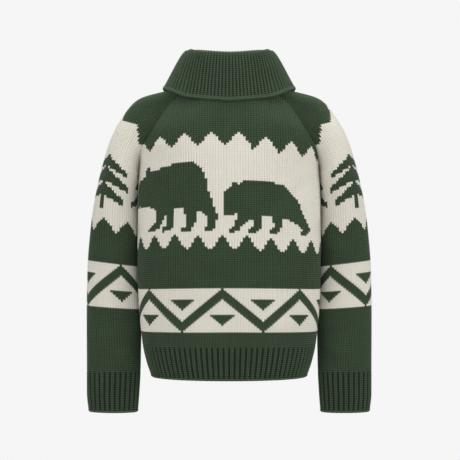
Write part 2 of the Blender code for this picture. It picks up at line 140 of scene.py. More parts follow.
BACK = table(
    "row  mid_y  mid_z  mid_reach  x      y       z       turn  rise   reach",
    (0.0, 0.066, 0.014, 0.034, 0.058, 0.047, 0.021, 39.0, 0.10, 0.024),
    (0.2, 0.080, 0.003, 0.052, 0.098, 0.050, 0.004, 24.0, -0.05, 0.036),
    (0.4, 0.093, -0.018, 0.070, 0.134, 0.054, -0.030, 27.0, -0.22, 0.048),
    (0.6, 0.105, -0.056, 0.088, 0.163, 0.060, -0.074, 40.0, -0.22, 0.058),
    (0.8, 0.115, -0.103, 0.105, 0.190, 0.041, -0.121, 62.0, -0.18, 0.066),
    (1.0, 0.121, -0.155, 0.115, 0.199, -0.008, -0.175, 90.0, -0.05, 0.076),
    (1.5, 0.125, -0.250, 0.117, 0.2005, -0.006, -0.262, 90.0, 0.0, 0.078),
    (2.0, 0.126, -0.350, 0.118, 0.202, -0.005, -0.358, 90.0, 0.0, 0.078),
    (2.5, 0.124, -0.450, 0.116, 0.199, -0.005, -0.455, 90.0, 0.0, 0.077),
    (3.0, 0.118, -0.543, 0.109, 0.190, -0.004, -0.547, 90.0, 0.0, 0.071),
    (3.5, 0.113, -0.582, 0.104, 0.182, -0.004, -0.584, 90.0, 0.0, 0.067),
    (4.0, 0.107, -0.619, 0.099, 0.170, -0.003, -0.619, 90.0, 0.0, 0.063),
)
FRONT = table(
    "row  mid_y  mid_z  mid_reach  x      y      z       turn  rise   reach",
    (0.0, 0.064, 0.006, 0.034, 0.058, 0.046, 0.010, 39.0, 0.05, 0.024),
    (0.2, 0.076, -0.014, 0.050, 0.094, 0.048, -0.006, 24.0, -0.05, 0.034),
    (0.4, 0.089, -0.043, 0.067, 0.126, 0.056, -0.038, 27.0, -0.15, 0.046),
    (0.6, 0.102, -0.080, 0.085, 0.156, 0.062, -0.080, 40.0, -0.18, 0.056),
    (0.8, 0.112, -0.119, 0.102, 0.185, 0.050, -0.124, 60.0, -0.15, 0.062),
    (1.0, 0.118, -0.160, 0.112, 0.199, 0.008, -0.175, 90.0, -0.05, 0.066),
    (1.5, 0.121, -0.254, 0.115, 0.2005, 0.006, -0.262, 90.0, 0.0, 0.070),
    (2.0, 0.121, -0.352, 0.116, 0.202, 0.005, -0.358, 90.0, 0.0, 0.071),
    (2.5, 0.118, -0.451, 0.114, 0.199, 0.005, -0.455, 90.0, 0.0, 0.070),
    (3.0, 0.112, -0.544, 0.107, 0.190, 0.004, -0.547, 90.0, 0.0, 0.066),
    (3.5, 0.108, -0.583, 0.102, 0.182, 0.004, -0.584, 90.0, 0.0, 0.062),
    (4.0, 0.102, -0.619, 0.097, 0.170, 0.003, -0.619, 90.0, 0.0, 0.058),
)
SLEEVE = table(
    "row    x      y       z       back   front  bx     by      bz     fx     fy      fz",
    (0.0, 0.082, 0.002, 0.024, 0.025, 0.025, 0.012, -0.010, 0.001, 0.012, 0.010, 0.0008),
    (0.2, 0.136, 0.002, 0.008, 0.030, 0.030, 0.018, -0.008, 0.003, 0.018, 0.008, 0.002),
    (0.4, 0.197, -0.001, -0.009, 0.042, 0.042, 0.028, -0.003, 0.007, 0.028, 0.005, 0.010),
    (0.6, 0.238, -0.005, -0.054, 0.060, 0.056, 0.032, 0.005, 0.004, 0.030, -0.002, 0.006),
    (0.8, 0.2635, -0.010, -0.104, 0.078, 0.072, 0.022, 0.032, 0.004, 0.020, -0.024, 0.004),
    (1.0, 0.2785, -0.014, -0.152, 0.093, 0.088, 0.000, 0.093, 0.000, 0.000, -0.088, 0.000),
    (1.25, 0.295, -0.022, -0.218, 0.086, 0.082, 0.000, 0.086, 0.000, 0.000, -0.082, 0.000),
    (1.5, 0.306, -0.028, -0.284, 0.078, 0.076, 0.000, 0.078, 0.000, 0.000, -0.076, 0.000),
    (2.0, 0.3145, -0.033, -0.385, 0.067, 0.067, 0.000, 0.067, 0.000, 0.000, -0.067, 0.000),
    (2.5, 0.3165, -0.035, -0.490, 0.059, 0.059, 0.000, 0.059, 0.000, 0.000, -0.059, 0.000),
    (3.0, 0.3160, -0.034, -0.605, 0.051, 0.051, 0.000, 0.051, 0.000, 0.000, -0.051, 0.000),
    (3.5, 0.3160, -0.035, -0.657, 0.047, 0.047, 0.000, 0.047, 0.000, 0.000, -0.047, 0.000),
    (4.0, 0.3120, -0.036, -0.700, 0.044, 0.044, 0.000, 0.044, 0.000, 0.000, -0.044, 0.000),
)
INNER = table(
    "row    x       y       z",
    (1.0, 0.1995, -0.008, -0.175),
    (1.25, 0.2025, -0.026, -0.240),
    (1.5, 0.2015, -0.034, -0.302),
    (2.0, 0.2000, -0.040, -0.398),
    (2.5, 0.1960, -0.039, -0.497),
    (3.0, 0.1975, -0.036, -0.607),
    (3.5, 0.2000, -0.037, -0.656),
    (4.0, 0.2035, -0.038, -0.701),
)
COLLAR = table(
    "turn  fold_x fold_y  fold_z edge_x edge_y  edge_z",
    (0.0, 0.000, 0.074, 0.083, 0.000, 0.101, -0.023),
    (0.25, 0.064, 0.057, 0.0885, 0.088, 0.082, -0.0135),
    (0.375, 0.085, 0.033, 0.0925, 0.128, 0.049, 0.003),
    (0.5, 0.093, 0.000, 0.0930, 0.1435, 0.000, 0.0105),
    (0.625, 0.088, -0.034, 0.0880, 0.137, -0.040, 0.001),
    (0.75, 0.068, -0.062, 0.077, 0.112, -0.078, -0.024),
    (0.875, 0.044, -0.086, 0.050, 0.082, -0.103, -0.056),
    (1.0, 0.020, -0.103, 0.022, 0.052, -0.116, -0.078),
)

# ---- how a fabric's relief repeats across: the place in the period, how far it stands out of the
# skin, and how many rows higher its stitches reach there, which makes their V ----
STOCKING = table(
    "place  height  lean",
    (0.00, -0.0013, 0.50),
    (0.25, 0.0006, 0.25),
    (0.50, -0.0001, 0.00),
    (0.75, 0.0006, 0.25),
)
DOUBLE_RIB = table(
    "place  height  lean",
    (0.00, -0.0022, 0.00),
    (0.17, -0.0020, 0.20),
    (0.25, 0.0002, 0.30),
    (0.34, 0.0008, 0.15),
    (0.44, 0.0000, 0.20),
    (0.50, -0.0014, 0.30),
    (0.56, 0.0000, 0.20),
    (0.66, 0.0008, 0.15),
    (0.75, 0.0002, 0.30),
    (0.83, -0.0020, 0.20),
)
SINGLE_RIB = table(
    "place  height  lean",
    (0.00, -0.0018, 0.00),
    (0.17, -0.0013, 0.30),
    (0.29, 0.0005, 0.20),
    (0.50, 0.0001, 0.00),
    (0.71, 0.0005, 0.20),
    (0.83, -0.0013, 0.30),
)
PURL = table("place  height  lean", (0.0, -INSIDE, 0.0))
RIB_BACK = table(
    "place  height  lean",
    (0.00, -INSIDE, 0.0),
    (0.50, -INSIDE - 0.0008, 0.0),
)
ROW_RELIEF = (-0.0011, 0.0003)    # between two rows, and along the middle of a row
PURL_RELIEF = 0.0005              # how far every other row of the inner face stands in
PURL_LIGHT = 0.55                 # how light the painted shade leaves the others


# ---- reading the tables ----
def smooth_slopes(keys, values):
    """Slopes for a smooth curve that never swings past the table's own values."""
    spans = np.diff(keys)
    rises = np.diff(values) / spans
    slopes = np.zeros(len(keys))
    slopes[0], slopes[-1] = rises[0], rises[-1]
    for k in range(1, len(keys) - 1):
        if rises[k - 1] * rises[k] > 0:
            before = 2 * spans[k] + spans[k - 1]
            after = spans[k] + 2 * spans[k - 1]
            slopes[k] = (before + after) / (before / rises[k - 1] + after / rises[k])
    return slopes


def read(source, name, wanted):
    """The values of a column at the wanted keys, on a smooth curve through the table's rows."""
    keys = source["row" if "row" in source else "turn"]
    values = source[name]
    slopes = smooth_slopes(keys, values)
    k = np.clip(np.searchsorted(keys, wanted) - 1, 0, len(keys) - 2)
    span = keys[k + 1] - keys[k]
    t = (wanted - keys[k]) / span
    return ((1 + 2 * t) * (1 - t) ** 2 * values[k] + t * (1 - t) ** 2 * span * slopes[k]
            + t * t * (3 - 2 * t) * values[k + 1] + t * t * (t - 1) * span * slopes[k + 1])


def vectors(source, names, wanted):
    return np.stack([read(source, name, wanted) for name in names.split()], axis=-1)


def beziers(start, start_handle, end_handle, end, samples=48):
    """One curve for each row of the four arrays of points."""
    t = np.linspace(0.0, 1.0, samples + 1)[None, :, None]
    start, start_handle, end_handle, end = [
        points[:, None, :] for points in (start, start_handle, end_handle, end)]
    return ((1 - t) ** 3 * start + 3 * t * (1 - t) ** 2 * start_handle
            + 3 * t * t * (1 - t) * end_handle + t ** 3 * end)


# ---- the rows of the garment's form ----
def torso_seam(side, rows):
    """Points of the raglan seam or, below the underarm, of the side seam that both sides share."""
    raglan = vectors(BACK if side > 0 else FRONT, "x y z", rows) * (1, side, 1)
    return np.where(rows[:, None] >= UNDERARM, vectors(BACK, "x y z", rows), raglan)


def torso_rows(side, rows):
    """Half rows of the body, from the centre line to the seam; side is 1 at the back, -1 in front."""
    source = BACK if side > 0 else FRONT
    middle = vectors(source, "mid_y mid_z", rows) * (side, 1)
    middle = np.column_stack([np.zeros(len(rows)), middle])
    angle = np.radians(read(source, "turn", rows))
    arrival = np.column_stack([np.cos(angle), -side * np.sin(angle), read(source, "rise", rows)])
    seam = torso_seam(side, rows)
    reach = read(source, "reach", rows)[:, None]
    mid_reach = np.outer(read(source, "mid_reach", rows), (1, 0, 0))
    return beziers(middle, middle + mid_reach, seam - arrival * reach, seam)


def sleeve_half(side, rows):
    """Half rows of the sleeve, from its seam or inner line to its outer line."""
    outer = vectors(SLEEVE, "x y z", rows)
    leave = vectors(SLEEVE, "bx by bz" if side > 0 else "fx fy fz", rows)
    below = rows[:, None] >= UNDERARM
    seam = np.where(below, vectors(INNER, "x y z", np.maximum(rows, UNDERARM)), torso_seam(side, rows))
    reach = np.outer(side * read(SLEEVE, "back" if side > 0 else "front", rows), (0, 1, 0))
    return beziers(seam, seam + leave, outer + reach, outer)


def sleeve_rows(rows):
    """Rows of the sleeve, from its back seam over the outer line to its front seam."""
    return np.concatenate([sleeve_half(1, rows), sleeve_half(-1, rows)[:, -2::-1]], axis=1)


def lengths(lines):
    """How far each point of some lines lies along its own line."""
    steps = np.linalg.norm(np.diff(lines, axis=1), axis=2)
    return np.concatenate([np.zeros((len(lines), 1)), np.cumsum(steps, axis=1)], axis=1)


def respaced(lines, cut=0.0, count=SAMPLES):
    """The lines with evenly spaced points, shortened at their start."""
    along = lengths(lines)
    result = np.empty((len(lines), count + 1, 3))
    for k, line in enumerate(lines):
        wanted = np.linspace(cut, along[k, -1], count + 1)
        for axis in range(3):
            result[k, :, axis] = np.interp(wanted, along[k], line[:, axis])
    return result


def even_rows(source, names, first, last, height=ROW):
    """Row numbers a quarter of a knitted row apart along a line from a table."""
    rows = np.linspace(first, last, MEASURED)
    along = lengths(vectors(source, names, rows)[None])[0]
    knitted = round(along[-1] / height)
    return np.interp(np.linspace(0, along[-1], QUARTERS * knitted + 1), along, rows)


def halved(low, high, is_low):
    """The closest values on both sides of the place at which is_low stops being true."""
    for _ in range(HALVINGS):
        middle = 0.5 * (low + high)
        still_low = is_low(middle)
        low, high = np.where(still_low, middle, low), np.where(still_low, high, middle)
    return low, high


class Skin:
    """The outer face of a cloth piece, laid out in knitted rows from its top edge down.

    Across is a distance towards the viewer's left, and down is a number of knitted rows.  Rows run
    from start to stop across, and top gives how far down they begin there, if not at 0.
    """

    def __init__(self, points, start, stop, top=None):
        self.points = points
        self.normals = self.outward()
        self.start, self.stop = [np.broadcast_to(end, len(points)) for end in (start, stop)]
        self.top = top
        self.fold = None
        self.rows = (len(points) - 1) // QUARTERS

    def outward(self):
        across = np.gradient(self.points, axis=1, edge_order=2)
        down = np.gradient(self.points, axis=0, edge_order=2)
        normals = np.cross(across, down)
        return normals / np.linalg.norm(normals, axis=2)[:, :, None]

    def ends(self, down):
        """Where a row starts and stops."""
        quarters = np.arange(len(self.start))
        return [np.interp(down * QUARTERS, quarters, end) for end in (self.start, self.stop)]

    def mirrored(self):
        """The same piece on the wearer's other side."""
        top = self.top and (lambda across: self.top(-across))
        return Skin(self.points[:, ::-1] * ACROSS, -self.stop, -self.start, top)

    def slid(self, across, down, side):
        """Points outside one side seam, slid down and in until they lie on it."""
        def outside(way_in):
            end = self.ends(down + SLANT * way_in / ROW)[side]
            return (across - way_in > end) if side else (across + way_in < end)

        way_in, _ = halved(np.zeros_like(across), np.abs(across) + FAR_IN, outside)
        down = np.minimum(down + SLANT * way_in / ROW, self.rows)
        return self.ends(down)[side], down

    def fitted(self, across, down):
        """Points that are brought inside the piece, and which of them had to be moved."""
        down = np.clip(down, 0, self.rows)
        moved = np.zeros(across.shape, bool)
        if self.top is not None:
            top = self.top(across)
            moved |= down < top
            down = np.maximum(down, top)
        for side in (0, 1):
            end = self.ends(down)[side]
            outside = (across > end) if side else (across < end)
            slid_across, slid_down = self.slid(across, down, side)
            across = np.where(outside, slid_across, across)
            down = np.where(outside, slid_down, down)
            moved |= outside
        return across, down, moved

    def at(self, across, down):
        """Points of the skin and its outward normals."""
        start, stop = self.ends(down)
        column = np.clip((across - start) / (stop - start), 0, 1) * (self.points.shape[1] - 1)
        quarter = down * QUARTERS
        c = np.minimum(column.astype(int), self.points.shape[1] - 2)
        q = np.minimum(quarter.astype(int), len(self.points) - 2)
        right, below = (column - c)[..., None], (quarter - q)[..., None]
        result = []
        for grid in (self.points, self.normals):
            upper = grid[q, c] * (1 - right) + grid[q, c + 1] * right
            lower = grid[q + 1, c] * (1 - right) + grid[q + 1, c + 1] * right
            result.append(upper * (1 - below) + lower * below)
        return result


def back_skin(first, last, rib=None):
    """The back between two of its rows; rib is the width of all its ribs, if it is ribbed."""
    rows = even_rows(BACK, "mid_y mid_z", first, last)
    half = respaced(torso_rows(1, rows), count=SAMPLES // 2)
    points = np.concatenate([half[:, :0:-1] * ACROSS, half], axis=1)
    width = 0.5 * rib if rib else lengths(half)[:, -1]
    return Skin(points, -width, width)


def front_skin(first, last, rib=None):
    """The left front, from its seam to its band; its top follows the neck edge."""
    rows = even_rows(FRONT, "mid_y mid_z", first, last)
    lines = torso_rows(-1, rows)
    points = respaced(lines, FRONT_START)[:, ::-1]
    reach = lengths(lines)[:, -1]
    if rib:
        return Skin(points, -rib, 0.0)
    return Skin(points, -reach, -FRONT_START, lambda across: neck_top(across, rows, reach))


def neck_row(fraction):
    """The row at which the front neck edge lies, from the band (0) to the raglan seam (1)."""
    return FRONT_NECK_DROP * (1.0 - np.minimum(fraction, 1.0) ** 2) ** 1.5


def neck_top(across, rows, reach):
    """How many knitted rows down each column of the front meets the neck edge."""
    quarters = np.arange(len(rows)) / QUARTERS

    def above(down):
        fraction = (np.abs(across) - FRONT_START) / (np.interp(down, quarters, reach) - FRONT_START)
        return np.interp(down, quarters, rows) < neck_row(np.clip(fraction, 0, 1))

    return halved(np.zeros_like(across), np.full_like(across, quarters[-1]), above)[1]


def sleeve_skin(first, last, rib=None):
    """The left sleeve, from its back seam or inner line round its outer line to the front."""
    rows = even_rows(SLEEVE, "x y z", first, last, SLEEVE_ROW)
    lines = sleeve_rows(rows)
    points = respaced(lines)
    if rib:
        return Skin(points, -0.5 * rib, 0.5 * rib)
    along = lengths(lines)
    middle = along[:, lines.shape[1] // 2] - SLEEVE_CHART_BACK
    return Skin(points, -middle, along[:, -1] - middle)


def band_skin(lift, rib):
    """A button band, centred on the front; lift moves it out from the body's skin."""
    rows = even_rows(FRONT, "mid_y mid_z", FRONT_NECK_DROP, RIB_END)
    y, z = -read(FRONT, "mid_y", rows) - lift, read(FRONT, "mid_z", rows)
    x = np.linspace(0.5 * BAND_WIDTH, -0.5 * BAND_WIDTH, SAMPLES + 1)
    points = np.stack(np.broadcast_arrays(x[None], y[:, None], z[:, None]), axis=-1)
    return Skin(points, -0.5 * rib, 0.5 * rib)


def neck_edge(turns):
    """Points of the neck edge, at turns from the centre back (0) to the band (1)."""
    at_neck = np.zeros(1)
    back = respaced(torso_rows(1, at_neck))[0]
    shoulder = respaced(sleeve_rows(at_neck))[0]
    places = np.linspace(0, 1, SAMPLES + 1)
    points = []
    for turn in turns:
        if turn < BACK_SEAM:
            line, place = back, turn / BACK_SEAM
        elif turn < FRONT_SEAM:
            line, place = shoulder, (turn - BACK_SEAM) / (FRONT_SEAM - BACK_SEAM)
        else:
            place = (1.0 - turn) / (1.0 - FRONT_SEAM)
            row = np.array([neck_row(place)])
            line = respaced(torso_rows(-1, row), FRONT_START)[0]
        points.append([np.interp(place, places, line[:, axis]) for axis in range(3)])
    return np.array(points)


def collar_skin():
    """The collar's visible side: up from the neck edge, over the fold and down to its free edge."""
    turns = np.linspace(0.0, 1.0, SAMPLES + 1)
    start = neck_edge(turns) - (0, 0, COLLAR_OVERLAP)
    fold = vectors(COLLAR, "fold_x fold_y fold_z", turns)
    end = vectors(COLLAR, "edge_x edge_y edge_z", turns)
    out = (end - fold) * (1, 1, 0)
    out *= COLLAR_FOLD / np.linalg.norm(out, axis=1)[:, None]
    rise = beziers(start, start + (0, 0, COLLAR_RISE), fold - out, fold)
    fall = beziers(fold, fold + out, end + COLLAR_SLOPE * (fold - end), end)
    lines = np.concatenate([rise, fall[:, 1:]], axis=1)
    knitted = round(lengths(lines)[:, -1].mean() / ROW)
    left = respaced(lines, count=QUARTERS * knitted)
    points = np.concatenate([left[:0:-1] * ACROSS, left]).transpose(1, 0, 2)
    width = 0.5 * COLLAR_RIBS * STITCH
    hidden = Skin(points, -width, width)
    skin = Skin(points + hidden.normals * WALL, -width, width)
    skin.fold = skin.points[:, SAMPLES, 2].argmax() / QUARTERS
    return skin


# ---- knitting ----
def border(faces):
    """The corners along a sheet's one border, in the order in which its faces run."""
    onward = {}
    edges = {(face[k - 1], face[k]) for face in faces for k in range(len(face))}
    for a, b in edges:
        if (b, a) not in edges:
            onward[a] = b
    loop = [min(onward)]
    while onward[loop[-1]] != loop[0]:
        loop.append(onward[loop[-1]])
    return loop


def places_along(points, loop):
    """For each point, how far along a closed loop of points it lies, as a part of the whole."""
    after = np.roll(loop, -1, axis=0)
    spans = after - loop
    long = np.linalg.norm(spans, axis=1)
    start = np.concatenate([[0.0], np.cumsum(long)])
    found = []
    for point in points:
        t = np.clip(((point - loop) * spans).sum(1) / np.maximum(long ** 2, 1e-12), 0, 1)
        nearest = np.linalg.norm(loop + t[:, None] * spans - point, axis=1).argmin()
        found.append((start[nearest] + t[nearest] * long[nearest]) / start[-1])
    return np.array(found), start[:-1] / start[-1]


def zipped(outer, inner, points):
    """Faces that close the gap between the borders of an outer and an inner sheet.

    The points are the corners' places on the flat piece, in metres.
    """
    inner = inner[::-1]
    away = np.linalg.norm(points[outer] - points[inner[0]], axis=1)
    outer = outer[away.argmin():] + outer[:away.argmin()]
    out_at, in_at = places_along(points[outer], points[inner])
    early = out_at[:len(outer) // 4]
    early[early > 0.5] = 0.0        # just past the loop's start, where its far end is as near
    out_at = np.append(np.maximum.accumulate(out_at), 1.0)
    in_at = np.append(in_at, 1.0)
    faces = []
    i, j = 0, 0
    while i < len(outer) or j < len(inner):
        out_now, in_now = outer[i % len(outer)], inner[j % len(inner)]
        step_out = j == len(inner) or (i < len(outer) and out_at[i + 1] <= in_at[j + 1])
        if step_out:
            faces.append((outer[(i + 1) % len(outer)], out_now, in_now))
            i += 1
        else:
            faces.append((inner[(j + 1) % len(inner)], out_now, in_now))
            j += 1
    return faces


def ease(x):
    """0 below 0, 1 above 1, and smooth between."""
    x = np.clip(x, 0.0, 1.0)
    return x * x * (3 - 2 * x)


def off_seam(skin, across, down):
    """0 at a piece's side seams, and 1 where the stitches are no longer flattened by them."""
    start, stop = skin.ends(down)
    return ease(np.minimum(across - start, stop - across) / SEAM_ROLL)


def relief(skin, fabric, within, lines, flat, down, knit_edge):
    """How far the stitches stand out of the skin at each corner of the grid."""
    ribbed = fabric["height"][within] * (ease(down / RIB_START) if knit_edge else 1.0)
    if skin.fold:
        ribbed = ribbed * (1 - FOLD_FLATNESS * np.exp(-((down - skin.fold) / FOLD_ROWS) ** 2))
    between = np.where(lines % 1 == 0, *ROW_RELIEF)[:, None]
    height = (ribbed + between) * flat + SEAM_RISE * (1 - flat)
    if knit_edge:
        bound = np.clip((down - skin.rows + knit_edge) / knit_edge, 0, 1)
        rolled = EDGE_ROLL * np.sin(math.pi * bound ** EDGE_LEAN)
        rolled = rolled - EDGE_TUCK * EDGE_ROLL * bound ** 4 + between
        height += (rolled - height) * ease(bound / EDGE_BLEND)
    return height


def painted_light(height, lines, normals):
    """How light the painted shade leaves each corner: less light gets in the deeper it lies, and
    between two rows, and more of it where the cloth faces up."""
    light = np.clip(1.0 + height / DARK_DEPTH, DARKEST, 1.0)
    light *= np.where(lines % 1 == 0, ROW_LIGHT, 1.0)[:, None]
    return light + (1.0 - light) * np.clip(normals[..., 2], 0.0, 1.0) ** 2


def stitch_grid(skin, fabric, period, row_step):
    """The columns and lines of a grid of corners that covers a skin, where on it they lie, and
    which of them had to be moved to lie on it."""
    entries = len(fabric["place"])
    first = math.floor(skin.start.min() / period + 1e-6)
    last = math.ceil(skin.stop.max() / period - 1e-6)
    columns = np.arange(first * entries, last * entries + 1)
    within = columns % entries
    lines = np.arange(0, skin.rows + 1 + row_step, row_step)
    across = (columns // entries + fabric["place"][within]) * period
    across = np.broadcast_to(across, (len(lines), len(columns)))
    down = lines[:, None] - fabric["lean"][within]
    return columns, lines, *skin.fitted(across, down)


def grid_faces(places, moved):
    """A grid's faces, and the line and column of each.  Corners at one place count as one, and
    cells that lie outside the skin, with all their corners moved, are left out."""
    flat = np.round(places.reshape(-1, 2), 7)
    _, kept, which = np.unique(flat, axis=0, return_index=True, return_inverse=True)
    index = kept[which.ravel()].reshape(moved.shape)
    corners = np.stack([index[:-1, :-1], index[:-1, 1:], index[1:, 1:], index[1:, :-1]], axis=-1)
    outside = moved[:-1, :-1] & moved[:-1, 1:] & moved[1:, 1:] & moved[1:, :-1]
    faces, found = [], []
    for line, column in np.argwhere(~outside):
        face = tuple(dict.fromkeys(corners[line, column].tolist()))
        if len(face) > 2:
            faces.append(face)
            found.append((line, column))
    return faces, found


def sheet(skin, fabric, period, row_step, knit_edge=0.0):
    """The corners of a sheet of stitches that covers a skin, with how far they stand out and how
    light their painted shade leaves them, and its faces and their stitch cells."""
    columns, lines, across, down, moved = stitch_grid(skin, fabric, period, row_step)
    within = columns % len(fabric["place"])
    if fabric is PURL or fabric is RIB_BACK:
        # the inner face gets painted shade, darker on every other row
        height = fabric["height"][within] - PURL_RELIEF * (lines % 2)[:, None]
        light = PURL_LIGHT + (1.0 - PURL_LIGHT) * (height + INSIDE) / (height.min() + INSIDE)
    else:
        flat = off_seam(skin, across, down)
        height = relief(skin, fabric, within, lines, flat, down, knit_edge)
        # painted light and shade for the wool's colour
        light = painted_light(height, lines, skin.at(across, down)[1])
        # painted shade: a dark line along the side seams
        light *= SEAM_LIGHT + (1.0 - SEAM_LIGHT) * flat
    places = np.stack([across, down], axis=-1)
    faces, found = grid_faces(places, moved)
    stitches = -(columns // len(fabric["place"]) + 0.5)
    rows_up = skin.rows - np.floor(lines) - 0.5
    cells = [(stitches[column], rows_up[line]) for line, column in found]
    return places.reshape(-1, 2), height.ravel(), light.ravel(), faces, cells


def creased(points, normals):
    """The points, pressed in along soft troughs."""
    for x0, y0, z0, x1, y1, z1, width, depth in zip(*CREASES.values()):
        start = np.array([x0, y0, z0])
        span = np.array([x1, y1, z1]) - start
        t = np.clip((points - start) @ span / (span @ span), 0, 1)
        away = np.linalg.norm(points - start - t[:, None] * span, axis=1)
        along = np.sin(math.pi * (CREASE_END + (1.0 - 2 * CREASE_END) * t))
        points = points - normals * (depth * along * np.exp(-(away / width) ** 2))[:, None]
    return points


def knit(name, skin, fabric, period, chart, knit_edge=0.0):
    """A closed shell of stitches on a skin, as an object with its colours, painted shade and maps."""
    outer, outer_height, outer_light, faces, cells = sheet(skin, fabric, period, 0.5, knit_edge)
    inside = PURL if fabric is STOCKING else RIB_BACK
    inner, inner_height, inner_light, back_faces, back_cells = sheet(skin, inside, period, 1.0)
    shift = len(outer)
    back_faces = [tuple(shift + corner for corner in face[::-1]) for face in back_faces]
    places = np.concatenate([outer, inner])
    points, normals = skin.at(places[:, 0], places[:, 1])
    height = np.concatenate([outer_height, inner_height])
    points = creased(points + normals * height[:, None], normals)
    rim = zipped(border(faces), border(back_faces), places * (1.0, ROW))
    rim_places = np.array([places[list(face)].mean(axis=0) for face in rim])
    rim_cells = np.column_stack([-rim_places[:, 0] / period, skin.rows - rim_places[:, 1]])
    all_faces = faces + back_faces + rim
    all_cells = np.concatenate([cells, back_cells, rim_cells])
    used, compact = np.unique(np.concatenate([list(face) for face in all_faces]), return_inverse=True)
    sizes = np.cumsum([len(face) for face in all_faces])[:-1]
    mesh = bpy.data.meshes.new(name)
    mesh.from_pydata(points[used].tolist(), [], [part.tolist() for part in np.split(compact, sizes)])
    mesh.shade_smooth()
    mesh.set_sharp_from_angle(angle=SHARP)
    kinds = np.repeat([OUTER_FACE, INNER_FACE, RIM], [len(faces), len(back_faces), len(rim)])
    random = np.random.default_rng(len(name) + skin.rows)
    add_attribute(mesh, "cream", "FACE", chart(*all_cells.T))
    add_attribute(mesh, "tone", "FACE", random.normal(0.0, 1.0, len(mesh.polygons)))
    # painted shade, which darkens the wool's colour between the stitches and lightens it where it faces
    # up
    add_attribute(mesh, "shade", "POINT", np.concatenate([outer_light, inner_light])[used])
    add_maps(mesh, skin, places[used], used >= shift, kinds, period)
    mesh.materials.append(WOOL)
    return new_object(name, mesh)


def new_object(name, data):
    thing = bpy.data.objects.new(name, data)
    bpy.context.collection.objects.link(thing)
    return thing


def add_attribute(mesh, name, domain, values):
    """A number for each face or corner, for the wool: its colour (0 green, 1 cream), its small
    change of tone, or how light its painted shade leaves it between the stitches."""
    data = mesh.attributes.new(name, "FLOAT", domain).data
    data.foreach_set("value", np.asarray(values, np.float32))


def add_maps(mesh, skin, places, is_inner, kinds, period):
    """The map for the bake, with the two faces side by side, and the map of the stitches."""
    corners = np.empty(len(mesh.loops), np.int32)
    mesh.loops.foreach_get("vertex_index", corners)
    totals = np.empty(len(mesh.polygons), np.int32)
    mesh.polygons.foreach_get("loop_total", totals)
    kind = np.repeat(kinds, totals)
    width = skin.stop.max() - skin.start.min()
    flat = np.column_stack([(places[:, 0] - skin.start.min()) / width, 1 - places[:, 1] / skin.rows])
    flat = flat[corners]
    spread = 1.0 + RIM_SPREAD * ((kind == RIM) & is_inner[corners])[:, None]
    flat = 0.5 + (flat - 0.5) * spread
    low, high = np.where((kind == INNER_FACE)[:, None, None], INNER_MAP, OUTER_MAP).swapaxes(0, 1)
    bake = mesh.uv_layers.new(name="OFBake")
    bake.uv.foreach_set("vector", (low + flat * (high - low)).astype(np.float32).ravel())
    stitches = np.column_stack([places[:, 0] / period, -places[:, 1]])[corners]
    knitted = mesh.uv_layers.new(name="Stitches")
    knitted.uv.foreach_set("vector", stitches.astype(np.float32).ravel())
    mesh.uv_layers.active = bake


# ---- creases: lines along which the cloth is pressed in, or stands out where the depth is below 0 ----
CREASES = table(
    "x0     y0     z0      x1     y1     z1      width  depth",
    (0.185, 0.060, -0.190, 0.120, 0.112, -0.262, 0.016, 0.0045),
    (0.178, 0.075, -0.232, 0.140, 0.108, -0.330, 0.014, 0.0030),
    (-0.186, 0.058, -0.185, -0.112, 0.114, -0.248, 0.017, 0.0040),
    (-0.176, 0.078, -0.240, -0.150, 0.102, -0.318, 0.013, 0.0032),
    (0.150, 0.098, -0.500, 0.020, 0.124, -0.512, 0.018, -0.0030),
    (-0.040, 0.124, -0.508, -0.160, 0.092, -0.496, 0.016, -0.0034),
    (0.168, 0.080, -0.440, 0.150, 0.090, -0.520, 0.014, 0.0030),
    (0.150, -0.096, -0.200, 0.080, -0.116, -0.285, 0.016, 0.0040),
    (-0.152, -0.094, -0.195, -0.092, -0.114, -0.262, 0.017, 0.0044),
    (0.150, -0.090, -0.497, 0.045, -0.112, -0.508, 0.018, -0.0030),
    (-0.148, -0.092, -0.503, -0.050, -0.113, -0.512, 0.015, -0.0032),
    (0.214, 0.020, -0.300, 0.262, 0.040, -0.352, 0.015, 0.0042),
    (0.208, 0.004, -0.352, 0.250, 0.034, -0.418, 0.012, 0.0030),
    (-0.214, 0.020, -0.292, -0.258, 0.042, -0.338, 0.016, 0.0040),
    (-0.206, 0.002, -0.366, -0.262, 0.034, -0.410, 0.013, 0.0034),
    (0.218, -0.080, -0.285, 0.268, -0.098, -0.330, 0.015, 0.0036),
    (-0.216, -0.082, -0.300, -0.272, -0.097, -0.352, 0.014, 0.0040),
    (0.206, -0.010, -0.560, 0.284, 0.016, -0.588, 0.014, -0.0028),
    (-0.208, -0.012, -0.552, -0.276, 0.018, -0.584, 0.015, -0.0030),
    (0.236, -0.082, -0.570, 0.306, -0.062, -0.590, 0.014, -0.0026),
    (-0.240, -0.084, -0.566, -0.300, -0.066, -0.588, 0.013, -0.0028),
)

# ---- charts, in stitches across from the middle of the piece and rows up from its ribs ----
# the edge of a row of teeth: a peak's stitch, stitches from tooth to tooth, rows of points and peaks
YOKE_EDGE = (-6.5, 10.0, 91.0, 97.0)
FOOT_EDGE = (-2.5, 9.0, 43.0, 50.3)         # under the animals
SLEEVE_EDGE = (-2.0, 10.0, 62.3, 68.2)
# how it droops to the right: rows for each stitch, from and up to which stitch
YOKE_DROOP = (0.14, 0.0, 20.0)
FOOT_DROOP = (0.035, -35.0, 35.0)
LEVEL = (0.0, 0.0, 0.0)
BAND_START = 6              # the row at which the body's pattern band begins
BAND_ROWS = 20
BAND_PERIOD = 30            # stitches from one peak of the band's zigzag to the next
LINE_ROWS = 5               # rows of that zigzag's line
